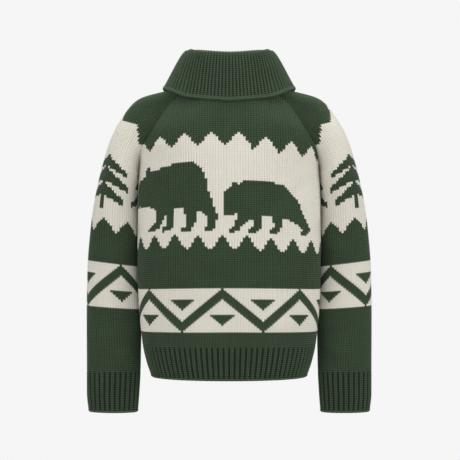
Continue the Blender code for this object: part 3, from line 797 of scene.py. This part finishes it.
# the triangles beside it: the rows of their point and flat top, and how many a side climbs a stitch
UPPER_TRIANGLE = (9.6, 15.0, 1.2)
LOWER_TRIANGLE = (2.9, 8.0, 1.1)
BACK_BAND_PEAK = -2.5
FRONT_BAND_PEAK = 12.5
BIG_BEAR_PLACE = (-21.0, 51.8)
SMALL_BEAR_PLACE = (15.0, 50.8)
FRONT_BEAR_PLACE = (22.0, 51.5)
BEAR_ROW = 0.77             # a row's height in the bears' tables, whose unit is a stitch's width
SLEEVE_BAND_START = 28
SHOULDER_START = 102.6      # the row at which the sleeve's cream ends next to the body
SHOULDER_PEAK = 9.0         # stitches out from the fir to where it climbs highest, in two steps
LOWER_STEP = -10.3          # stitches out from the fir to the lower step
LOWER_RUN = 0.56            # stitches for each of its rows
LOWER_RISE = 9
LEFT_STEP = 3.5             # stitches out from the fir to the upper step of the left sleeve
RIGHT_STEP = -0.5
UPPER_RUN = 0.85
UPPER_RISE = 8
LEFT_BAND_PEAK = -8.5       # stitches out from the fir to the peak of the sleeve's band
RIGHT_BAND_PEAK = -11.5
FIR_SPREAD = 24.5           # stitches from the sleeve's middle fir to the next
TRUNK_FOOT = 72
TRUNK_WIDTH = 1.1           # stitches from the trunk's middle to its side
BOUGH_TIP = 1.5             # rows from the tip of a bough to its upper edge there
BOUGH_TAPER = 0.6           # the part of its thickness that it has lost there

BIG_BEAR = table(
    "x0    y0    r0   x1    y1    r1",
    (-9.0, 16.4, 6.8, 4.4, 16.8, 8.3),      # body
    (4.4, 16.8, 8.3, 8.8, 12.4, 5.0),       # rump
    (-9.0, 16.6, 6.4, -17.0, 15.6, 5.2),    # neck and head
    (-17.0, 15.4, 4.8, -22.5, 12.4, 2.4),   # snout
    (-12.8, 22.6, 1.6, -12.2, 23.6, 1.5),   # ear
    (10.6, 11.8, 3.6, 15.0, 5.4, 1.7),      # hind leg behind
    (15.0, 5.4, 1.7, 14.6, 2.2, 1.4),
    (14.4, 1.4, 1.0, 12.6, 1.0, 0.9),
    (6.2, 9.6, 3.0, 7.0, 4.0, 1.6),         # hind leg in front
    (7.0, 4.0, 1.6, 6.2, 1.6, 1.2),
    (6.2, 1.4, 1.0, 3.8, 1.0, 0.9),
    (-2.2, 9.8, 2.8, -1.2, 4.8, 1.6),       # front leg behind
    (-1.2, 4.8, 1.6, -1.8, 2.2, 1.3),
    (-1.8, 2.0, 1.1, -4.6, 1.4, 0.9),
    (-6.0, 10.4, 3.0, -5.6, 6.4, 1.8),      # front leg in front
    (-5.6, 6.4, 1.8, -7.4, 3.2, 1.4),
    (-7.4, 3.0, 1.3, -10.6, 1.6, 1.0),
)
SMALL_BEAR = table(
    "x0    y0    r0   x1    y1    r1",
    (-7.4, 12.6, 6.2, 3.2, 12.3, 5.9),      # shoulders and body
    (3.2, 12.3, 5.9, 8.4, 9.8, 4.6),        # rump
    (-8.4, 12.2, 4.8, -12.8, 11.6, 4.7),    # neck and head
    (-13.2, 10.4, 3.8, -15.0, 8.4, 2.5),    # snout
    (-13.0, 15.9, 1.2, -13.0, 16.6, 1.2),   # ear
    (8.8, 9.2, 4.2, 13.4, 5.2, 2.3),        # hind leg behind
    (13.4, 5.2, 2.3, 16.0, 2.6, 1.6),
    (15.8, 1.8, 1.2, 13.8, 1.1, 0.9),
    (2.8, 8.4, 3.0, 3.4, 4.0, 1.8),         # hind leg in front
    (3.4, 4.0, 1.8, 2.8, 1.8, 1.3),
    (2.6, 1.6, 1.0, 0.4, 1.1, 0.9),
    (-5.0, 8.6, 2.8, -4.4, 4.0, 1.7),       # front leg behind
    (-4.4, 4.0, 1.7, -5.0, 1.8, 1.3),
    (-5.2, 1.6, 1.1, -7.6, 1.1, 0.9),
    (-7.8, 8.6, 2.8, -10.6, 4.6, 1.8),      # front leg in front
    (-10.6, 4.6, 1.8, -12.2, 2.2, 1.3),
    (-12.2, 1.8, 1.1, -14.0, 1.2, 0.9),
)
MIDDLE_FIR = table(
    "top   tip   reach thick",
    (96.0, 88.5, 9.8, 5.0),
    (90.8, 82.0, 11.2, 6.0),
    (84.4, 75.6, 9.4, 6.0),
)
SIDE_FIR = table(
    "top   tip   reach thick",
    (95.0, 89.5, 5.5, 4.5),
    (90.2, 84.0, 8.0, 5.0),
    (85.2, 76.2, 11.0, 6.0),
)


def zigzag(u, edge, droop):
    """The height of a zigzag edge over each column of stitches; each tooth droops by whole rows."""
    peak, period, low, high = edge
    tooth = np.floor(peak + period * np.floor((u - peak) / period + 0.5)) + 0.5
    rate, droop_start, droop_stop = droop
    fall = np.round(rate * np.clip(tooth, droop_start, droop_stop))
    return high - (high - low) * np.abs(u - tooth) / (0.5 * period) - fall


def triangle(row, away, shape):
    """Which stitches lie inside a triangle that stands on its point, away from its middle."""
    point, top, climb = shape
    return (row < top) & (row > point + climb * away)


def pattern_band(u, v, start, peak):
    """Cream, crossed by a green zigzag line with an upturned triangle in each of its gaps."""
    half = 0.5 * BAND_PERIOD
    away = np.abs((u - peak + half) % BAND_PERIOD - half)
    row = v - start
    line = (row < BAND_ROWS - away) & (row > BAND_ROWS - LINE_ROWS - away)
    triangles = triangle(row, half - away, UPPER_TRIANGLE) | triangle(row, away, LOWER_TRIANGLE)
    return (row > 0) & (row < BAND_ROWS) & ~line & ~triangles


def bear(limbs, x, rows_up):
    """Which stitches lie inside a bear, whose limbs are thick lines that taper end to end."""
    y = rows_up * BEAR_ROW
    inside = np.zeros(len(x), bool)
    for x0, y0, r0, x1, y1, r1 in zip(*limbs.values()):
        span_x, span_y = x1 - x0, y1 - y0
        t = np.clip(((x - x0) * span_x + (y - y0) * span_y) / (span_x ** 2 + span_y ** 2), 0, 1)
        inside |= np.hypot(x - x0 - t * span_x, y - y0 - t * span_y) < r0 + (r1 - r0) * t
    return inside


def fir(x, v, boughs):
    """Which stitches lie inside a fir of drooping boughs, with its trunk at x = 0."""
    away = np.abs(x)
    inside = (away < TRUNK_WIDTH) & (v > TRUNK_FOOT) & (v < boughs["top"][0])
    for top, tip, reach, thick in zip(*boughs.values()):
        t = away / reach
        upper = top + (tip + BOUGH_TIP - top) * t
        inside |= (t <= 1) & (v < upper) & (v > upper - thick * (1 - BOUGH_TAPER * t))
    return inside


def body_chart(u, v, droops, animals, band_peak):
    """A cream field with animals between two rows of teeth, and the band below it."""
    yoke_droop, foot_droop = droops
    field = (v < zigzag(u, YOKE_EDGE, yoke_droop)) & (v > zigzag(u, FOOT_EDGE, foot_droop))
    for limbs, (x, y) in animals:
        field &= ~bear(limbs, u - x, v - y)
    return field | pattern_band(u, v, BAND_START, band_peak)


def back_chart(u, v):
    animals = ((BIG_BEAR, BIG_BEAR_PLACE), (SMALL_BEAR, SMALL_BEAR_PLACE))
    return body_chart(u, v, (YOKE_DROOP, FOOT_DROOP), animals, BACK_BAND_PEAK)


def front_chart(u, v):
    """The front's pattern is the same on both sides of the buttons."""
    animals = ((SMALL_BEAR, FRONT_BEAR_PLACE),)
    return body_chart(np.abs(u), v, (LEVEL, LEVEL), animals, FRONT_BAND_PEAK)


def sleeve_chart(side, band_peak, upper_step):
    """The chart of one sleeve, whose steps at the shoulder and band differ a little.

    Out is counted in stitches away from the body's back, from the trunk of the sleeve's fir.
    """
    def chart(u, v):
        out = side * u
        climb = SHOULDER_PEAK - np.abs(out - SHOULDER_PEAK)
        lower = np.clip((climb - LOWER_STEP) / LOWER_RUN, 0, LOWER_RISE)
        upper = np.clip((climb - upper_step) / UPPER_RUN, 0, UPPER_RISE)
        foot = zigzag(out, SLEEVE_EDGE, LEVEL)
        trees = fir(out, v, MIDDLE_FIR) | fir(np.abs(out) - FIR_SPREAD, v, SIDE_FIR)
        field = (v < SHOULDER_START + lower + upper) & (v > foot) & ~trees
        return field | pattern_band(out, v, SLEEVE_BAND_START, band_peak)
    return chart


def plain_chart(u, v):
    return np.zeros(len(u), bool)


# ---- materials ----
GREEN = (0.058, 0.098, 0.051, 1.0)
CREAM = (0.765, 0.735, 0.65, 1.0)
HORN = (0.11, 0.055, 0.028, 1.0)
HORN_DARK = (0.035, 0.018, 0.010, 1.0)
THREAD = (0.030, 0.050, 0.033, 1.0)
THREAD_LIGHT = (0.054, 0.090, 0.0594, 1.0)
GREEN_CONTRAST = 1.6       # how strongly the painted shade darkens each wool between its stitches
CREAM_CONTRAST = 0.3
STITCH_TONE = 0.045        # how much the tone varies from stitch to stitch,
HEATHER_TONE = 0.55        # from fibre to fibre
CLOUD_TONE = 0.20          # and over the garment
PLY_STRETCH = (9.0, 2.5, 1.0)      # how often the plies repeat across a stitch and along a row
HORN_STRETCH = (1.0, 1.0, 3.5)     # how much closer the horn's streaks are in height


class Nodes:
    """The nodes of a material or world.  Most calls add a node and give its output."""

    def __init__(self, owner):
        owner.use_nodes = True
        self.tree = owner.node_tree

    def put(self, node, inputs):
        """Set a node's inputs, or link them where the value is another node's output."""
        for name, value in inputs.items():
            if isinstance(value, bpy.types.NodeSocket):
                self.tree.links.new(value, node.inputs[name])
            else:
                node.inputs[name].default_value = value

    def add(self, kind, output, inputs, **settings):
        node = self.tree.nodes.new("ShaderNode" + kind)
        for name, value in settings.items():
            setattr(node, name, value)
        self.put(node, inputs)
        return node.outputs[output]

    def noise(self, vector, scale, detail=2.0):
        return self.add("TexNoise", "Fac", {"Vector": vector, "Scale": scale, "Detail": detail})

    def stretched(self, vector, scale):
        return self.add("Mapping", "Vector", {"Vector": vector, "Scale": scale})

    def bump(self, height, strength, distance):
        inputs = {"Height": height, "Strength": strength, "Distance": distance}
        return self.add("Bump", "Normal", inputs)

    def maths(self, operation, *values):
        return self.add("Math", 0, dict(enumerate(values)), operation=operation)

    def about_zero(self, value, size):
        """A value between 0 and 1, turned into one that varies about 0."""
        return self.maths("MULTIPLY_ADD", value, size, -0.5 * size)

    def attribute(self, name):
        return self.add("Attribute", "Fac", {}, attribute_name=name)

    def mixed(self, factor, first, second):
        inputs = {"Factor": factor, "A": first, "B": second}
        return self.add("Mix", "Result", inputs, data_type="RGBA")


def new_material(name, make_inputs):
    """A material whose shader gets the inputs that are made from its nodes and the place."""
    material = bpy.data.materials.new(name)
    nodes = Nodes(material)
    place = nodes.add("TexCoord", "Object", {})
    nodes.put(nodes.tree.nodes["Principled BSDF"], make_inputs(nodes, place))
    return material


def wool(nodes, place):
    """Plied wool: its colour from the chart, heathered and darkened by painted shade, with plies and
    loose fibres in the bump.
    """
    cream = nodes.attribute("cream")
    contrast = nodes.maths("MULTIPLY_ADD", cream, CREAM_CONTRAST - GREEN_CONTRAST, GREEN_CONTRAST)
    # painted shade: the colour is darkened by the knit's shade attribute, more on the green
    shade = nodes.maths("POWER", nodes.attribute("shade"), contrast)
    tone = nodes.maths("MULTIPLY", nodes.attribute("tone"), STITCH_TONE)
    heather = nodes.about_zero(nodes.noise(place, scale=420.0, detail=3.0), HEATHER_TONE)
    clouds = nodes.about_zero(nodes.noise(place, scale=22.0), CLOUD_TONE)
    level = nodes.maths("ADD", nodes.maths("ADD", tone, heather), clouds)
    level = nodes.maths("MULTIPLY", level, contrast)
    bright = nodes.maths("MULTIPLY", nodes.maths("ADD", level, 1.0), shade)
    colour = {0: nodes.mixed(cream, GREEN, CREAM), "Scale": bright}
    stitches = nodes.add("UVMap", "UV", {}, uv_map="Stitches")
    plies = nodes.noise(nodes.stretched(stitches, PLY_STRETCH), scale=1.0, detail=1.0)
    fibres = nodes.noise(place, scale=1500.0, detail=4.0)
    return {
        "Base Color": nodes.add("VectorMath", 0, colour, operation="SCALE"),
        "Roughness": 0.92,
        "Specular IOR Level": 0.2,
        "Sheen Weight": 0.08,
        "Sheen Roughness": 0.55,
        "Normal": nodes.bump(nodes.maths("ADD", plies, fibres), strength=0.7, distance=0.0006),
    }


def horn(nodes, place):
    """Polished horn: brown, clouded with darker streaks."""
    cloud = nodes.noise(nodes.stretched(place, HORN_STRETCH), scale=90.0, detail=4.0)
    return {
        "Base Color": nodes.mixed(cloud, HORN_DARK, HORN),
        "Roughness": 0.32,
        "Normal": nodes.bump(nodes.noise(place, scale=700.0), strength=0.15, distance=0.0002),
    }


def thread(nodes, place):
    """Sewing thread with a fine twist."""
    twist = nodes.noise(place, scale=2500.0, detail=1.0)
    return {
        "Base Color": nodes.mixed(twist, THREAD, THREAD_LIGHT),
        "Roughness": 0.8,
        "Sheen Weight": 0.2,
        "Normal": nodes.bump(twist, strength=0.5, distance=0.0002),
    }


def matt_floor(nodes, place):
    return {"Base Color": (FLOOR_SHADE, FLOOR_SHADE, FLOOR_SHADE, 1.0), "Roughness": 0.9}


WOOL = new_material("wool", wool)


# ---- the pieces ----
def flat_cut(skin):
    """The width, length and area of a piece laid flat."""
    across = np.diff(skin.points, axis=1)
    down = np.diff(skin.points, axis=0)
    width = np.linalg.norm(across, axis=2).sum(axis=1).max()
    length = np.linalg.norm(down, axis=2).sum(axis=0).max()
    cells = np.linalg.norm(np.cross(across[:-1], down[:, :-1]), axis=2)
    if skin.top is not None:
        place = np.linspace(skin.start, skin.stop, skin.points.shape[1])[:-1].T[:-1]
        row = np.arange(len(cells))[:, None] / QUARTERS
        cells = cells * (row >= skin.top(place))
    return (width, length), min(cells.sum(), width * length)


def finish_cloth(name, node, skin, *knitting, **options):
    """Knit a piece that stands for a node, and hide the node; its flat cut is measured but not used."""
    piece = knit(name, skin, *knitting, **options)
    size, area = flat_cut(skin)
    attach(piece, "root")
    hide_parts(node)


def finish_rib(name, node, skin):
    """Knit a hem or a cuff in double ribs with a bound edge."""
    finish_cloth(name, node, skin, DOUBLE_RIB, RIB_PERIOD, plain_chart, knit_edge=HEM_EDGE)


def finish_pair(node, skin, rib_name, rib_node, rib, charts):
    """Knit a left piece with its ribs, and the right ones as their mirror image."""
    for side, chart in zip(("_left", "_right"), charts):
        finish_cloth("knit_" + node + side, node + side, skin, STOCKING, STITCH, chart)
        finish_rib(rib_name + side, rib_node + side, rib)
        skin, rib = skin.mirrored(), rib.mirrored()


def make_body():
    finish_cloth("knit_back", "back", back_skin(NECK, RIB_TOP), STOCKING, STITCH, back_chart)
    finish_rib("rib_back", "hem_back", back_skin(RIB_TOP, RIB_END, BACK_RIBS * RIB_PERIOD))
    front = front_skin(NECK, RIB_TOP)
    hem = front_skin(RIB_TOP, RIB_END, FRONT_RIBS * RIB_PERIOD)
    finish_pair("front", front, "rib_front", "hem_front", hem, (front_chart, front_chart))


def make_sleeves():
    sleeve = sleeve_skin(NECK, RIB_TOP)
    cuff = sleeve_skin(RIB_TOP, RIB_END, CUFF_RIBS * RIB_PERIOD)
    left_chart = sleeve_chart(-1, LEFT_BAND_PEAK, LEFT_STEP)
    right_chart = sleeve_chart(1, RIGHT_BAND_PEAK, RIGHT_STEP)
    finish_pair("sleeve", sleeve, "rib_cuff", "cuff", cuff, (left_chart, right_chart))


def make_collar():
    finish_cloth("rib_collar", "collar", collar_skin(), SINGLE_RIB, STITCH, plain_chart,
                 knit_edge=COLLAR_EDGE)


def make_bands():
    width = BAND_RIBS * BAND_RIB_WIDTH
    for side, lift in (("right", 0.0), ("left", WALL + BAND_GAP)):
        finish_cloth("rib_band_" + side, "band_" + side, band_skin(lift, width), SINGLE_RIB,
                     BAND_RIB_WIDTH, plain_chart)


def stitch_across(centre, slope, angle):
    """A thread from one of a button's holes over its face to the opposite one."""
    path = []
    for t in np.linspace(-1, 1, THREAD_POINTS):
        reach = THREAD_REACH * t
        rise = THREAD_RISE * (1 - t * t) - THREAD_SINK * t ** 8
        local = Vector((reach * math.cos(angle), -rise, reach * math.sin(angle)))
        turned = Vector((local.x, local.y * math.cos(slope) - local.z * math.sin(slope),
                         local.y * math.sin(slope) + local.z * math.cos(slope)))
        path.append(centre + turned)
    return path


def make_buttons():
    """The CAD buttons get their horn, and each is sewn on with two crossed threads."""
    horn_material = new_material("horn", horn)
    curve = bpy.data.curves.new("button_threads", "CURVE")
    curve.dimensions = "3D"
    curve.bevel_depth = THREAD_RADIUS
    curve.bevel_resolution = 2
    curve.use_fill_caps = True
    for name, node in sorted(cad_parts.items()):
        if not name.startswith("button_"):
            continue
        node.data.materials.clear()
        node.data.materials.append(horn_material)
        face, slope = button_face(node)
        for angle in (0.25 * math.pi, 0.75 * math.pi):
            spline = curve.splines.new("POLY")
            path = stitch_across(face, slope, angle)
            spline.points.add(len(path) - 1)
            for point, place in zip(spline.points, path):
                point.co = (*place, 1.0)
    curve.materials.append(new_material("thread", thread))
    threads = new_object("button_threads", curve)
    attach(threads, "root")


def button_face(node):
    """The middle of a button's sunk face, and how far the button leans."""
    corners = np.array([corner.co[:] for corner in node.data.vertices])
    low, high = corners.min(axis=0), corners.max(axis=0)
    middle = Vector((low + high) / 2)
    end = BUTTON_END * (high[2] - low[2])
    top = corners[corners[:, 2] > high[2] - end].mean(axis=0)
    bottom = corners[corners[:, 2] < low[2] + end].mean(axis=0)
    slope = math.atan2(bottom[1] - top[1], top[2] - bottom[2])
    outward = Vector((0, -math.cos(slope), -math.sin(slope)))
    return middle + outward * BUTTON_FACE, slope


def make_stage():
    """A pale floor well below the garment, and a pale room around it."""
    bpy.ops.mesh.primitive_circle_add(vertices=96, radius=FLOOR_RADIUS, fill_type="NGON",
                                      location=(0, 0, FLOOR_HEIGHT))
    floor = bpy.context.object
    floor.name = "floor"
    floor.data.materials.append(new_material("floor", matt_floor))
    world = bpy.data.worlds.new("room")
    bpy.context.scene.world = world
    nodes = Nodes(world)
    seen = nodes.add("LightPath", "Is Camera Ray", {})
    light = nodes.maths("MULTIPLY_ADD", seen, ROOM_SHADE - ROOM_LIGHT, ROOM_LIGHT)
    nodes.put(nodes.tree.nodes["Background"], {"Color": (1.0, 1.0, 1.0, 1.0), "Strength": light})


def make_lights():
    """Soft lamps that face the garment's middle."""
    for name, place, size, power in LIGHTS:
        light = bpy.data.lights.new(name, "AREA")
        light.size = size
        light.energy = power
        lamp = new_object(name, light)
        lamp.location = place
        lamp.rotation_euler = (Vector(MIDDLE) - Vector(place)).to_track_quat("-Z", "Y").to_euler()


def make_camera():
    """At the photo's viewing angle: straight at the back, level with the middle."""
    camera = new_object("camera", bpy.data.cameras.new("camera"))
    camera.location = (CAMERA_SIDE, CAMERA_DISTANCE, CAMERA_HEIGHT)
    camera.rotation_euler = (0.5 * math.pi, 0, math.pi)
    camera.data.lens = camera.data.sensor_width * CAMERA_DISTANCE / VIEW_WIDTH
    bpy.context.scene.camera = camera


make_body()
make_sleeves()
make_collar()
make_bands()
make_buttons()
make_stage()
make_lights()
make_camera()
bpy.context.scene.view_settings.view_transform = "Standard"
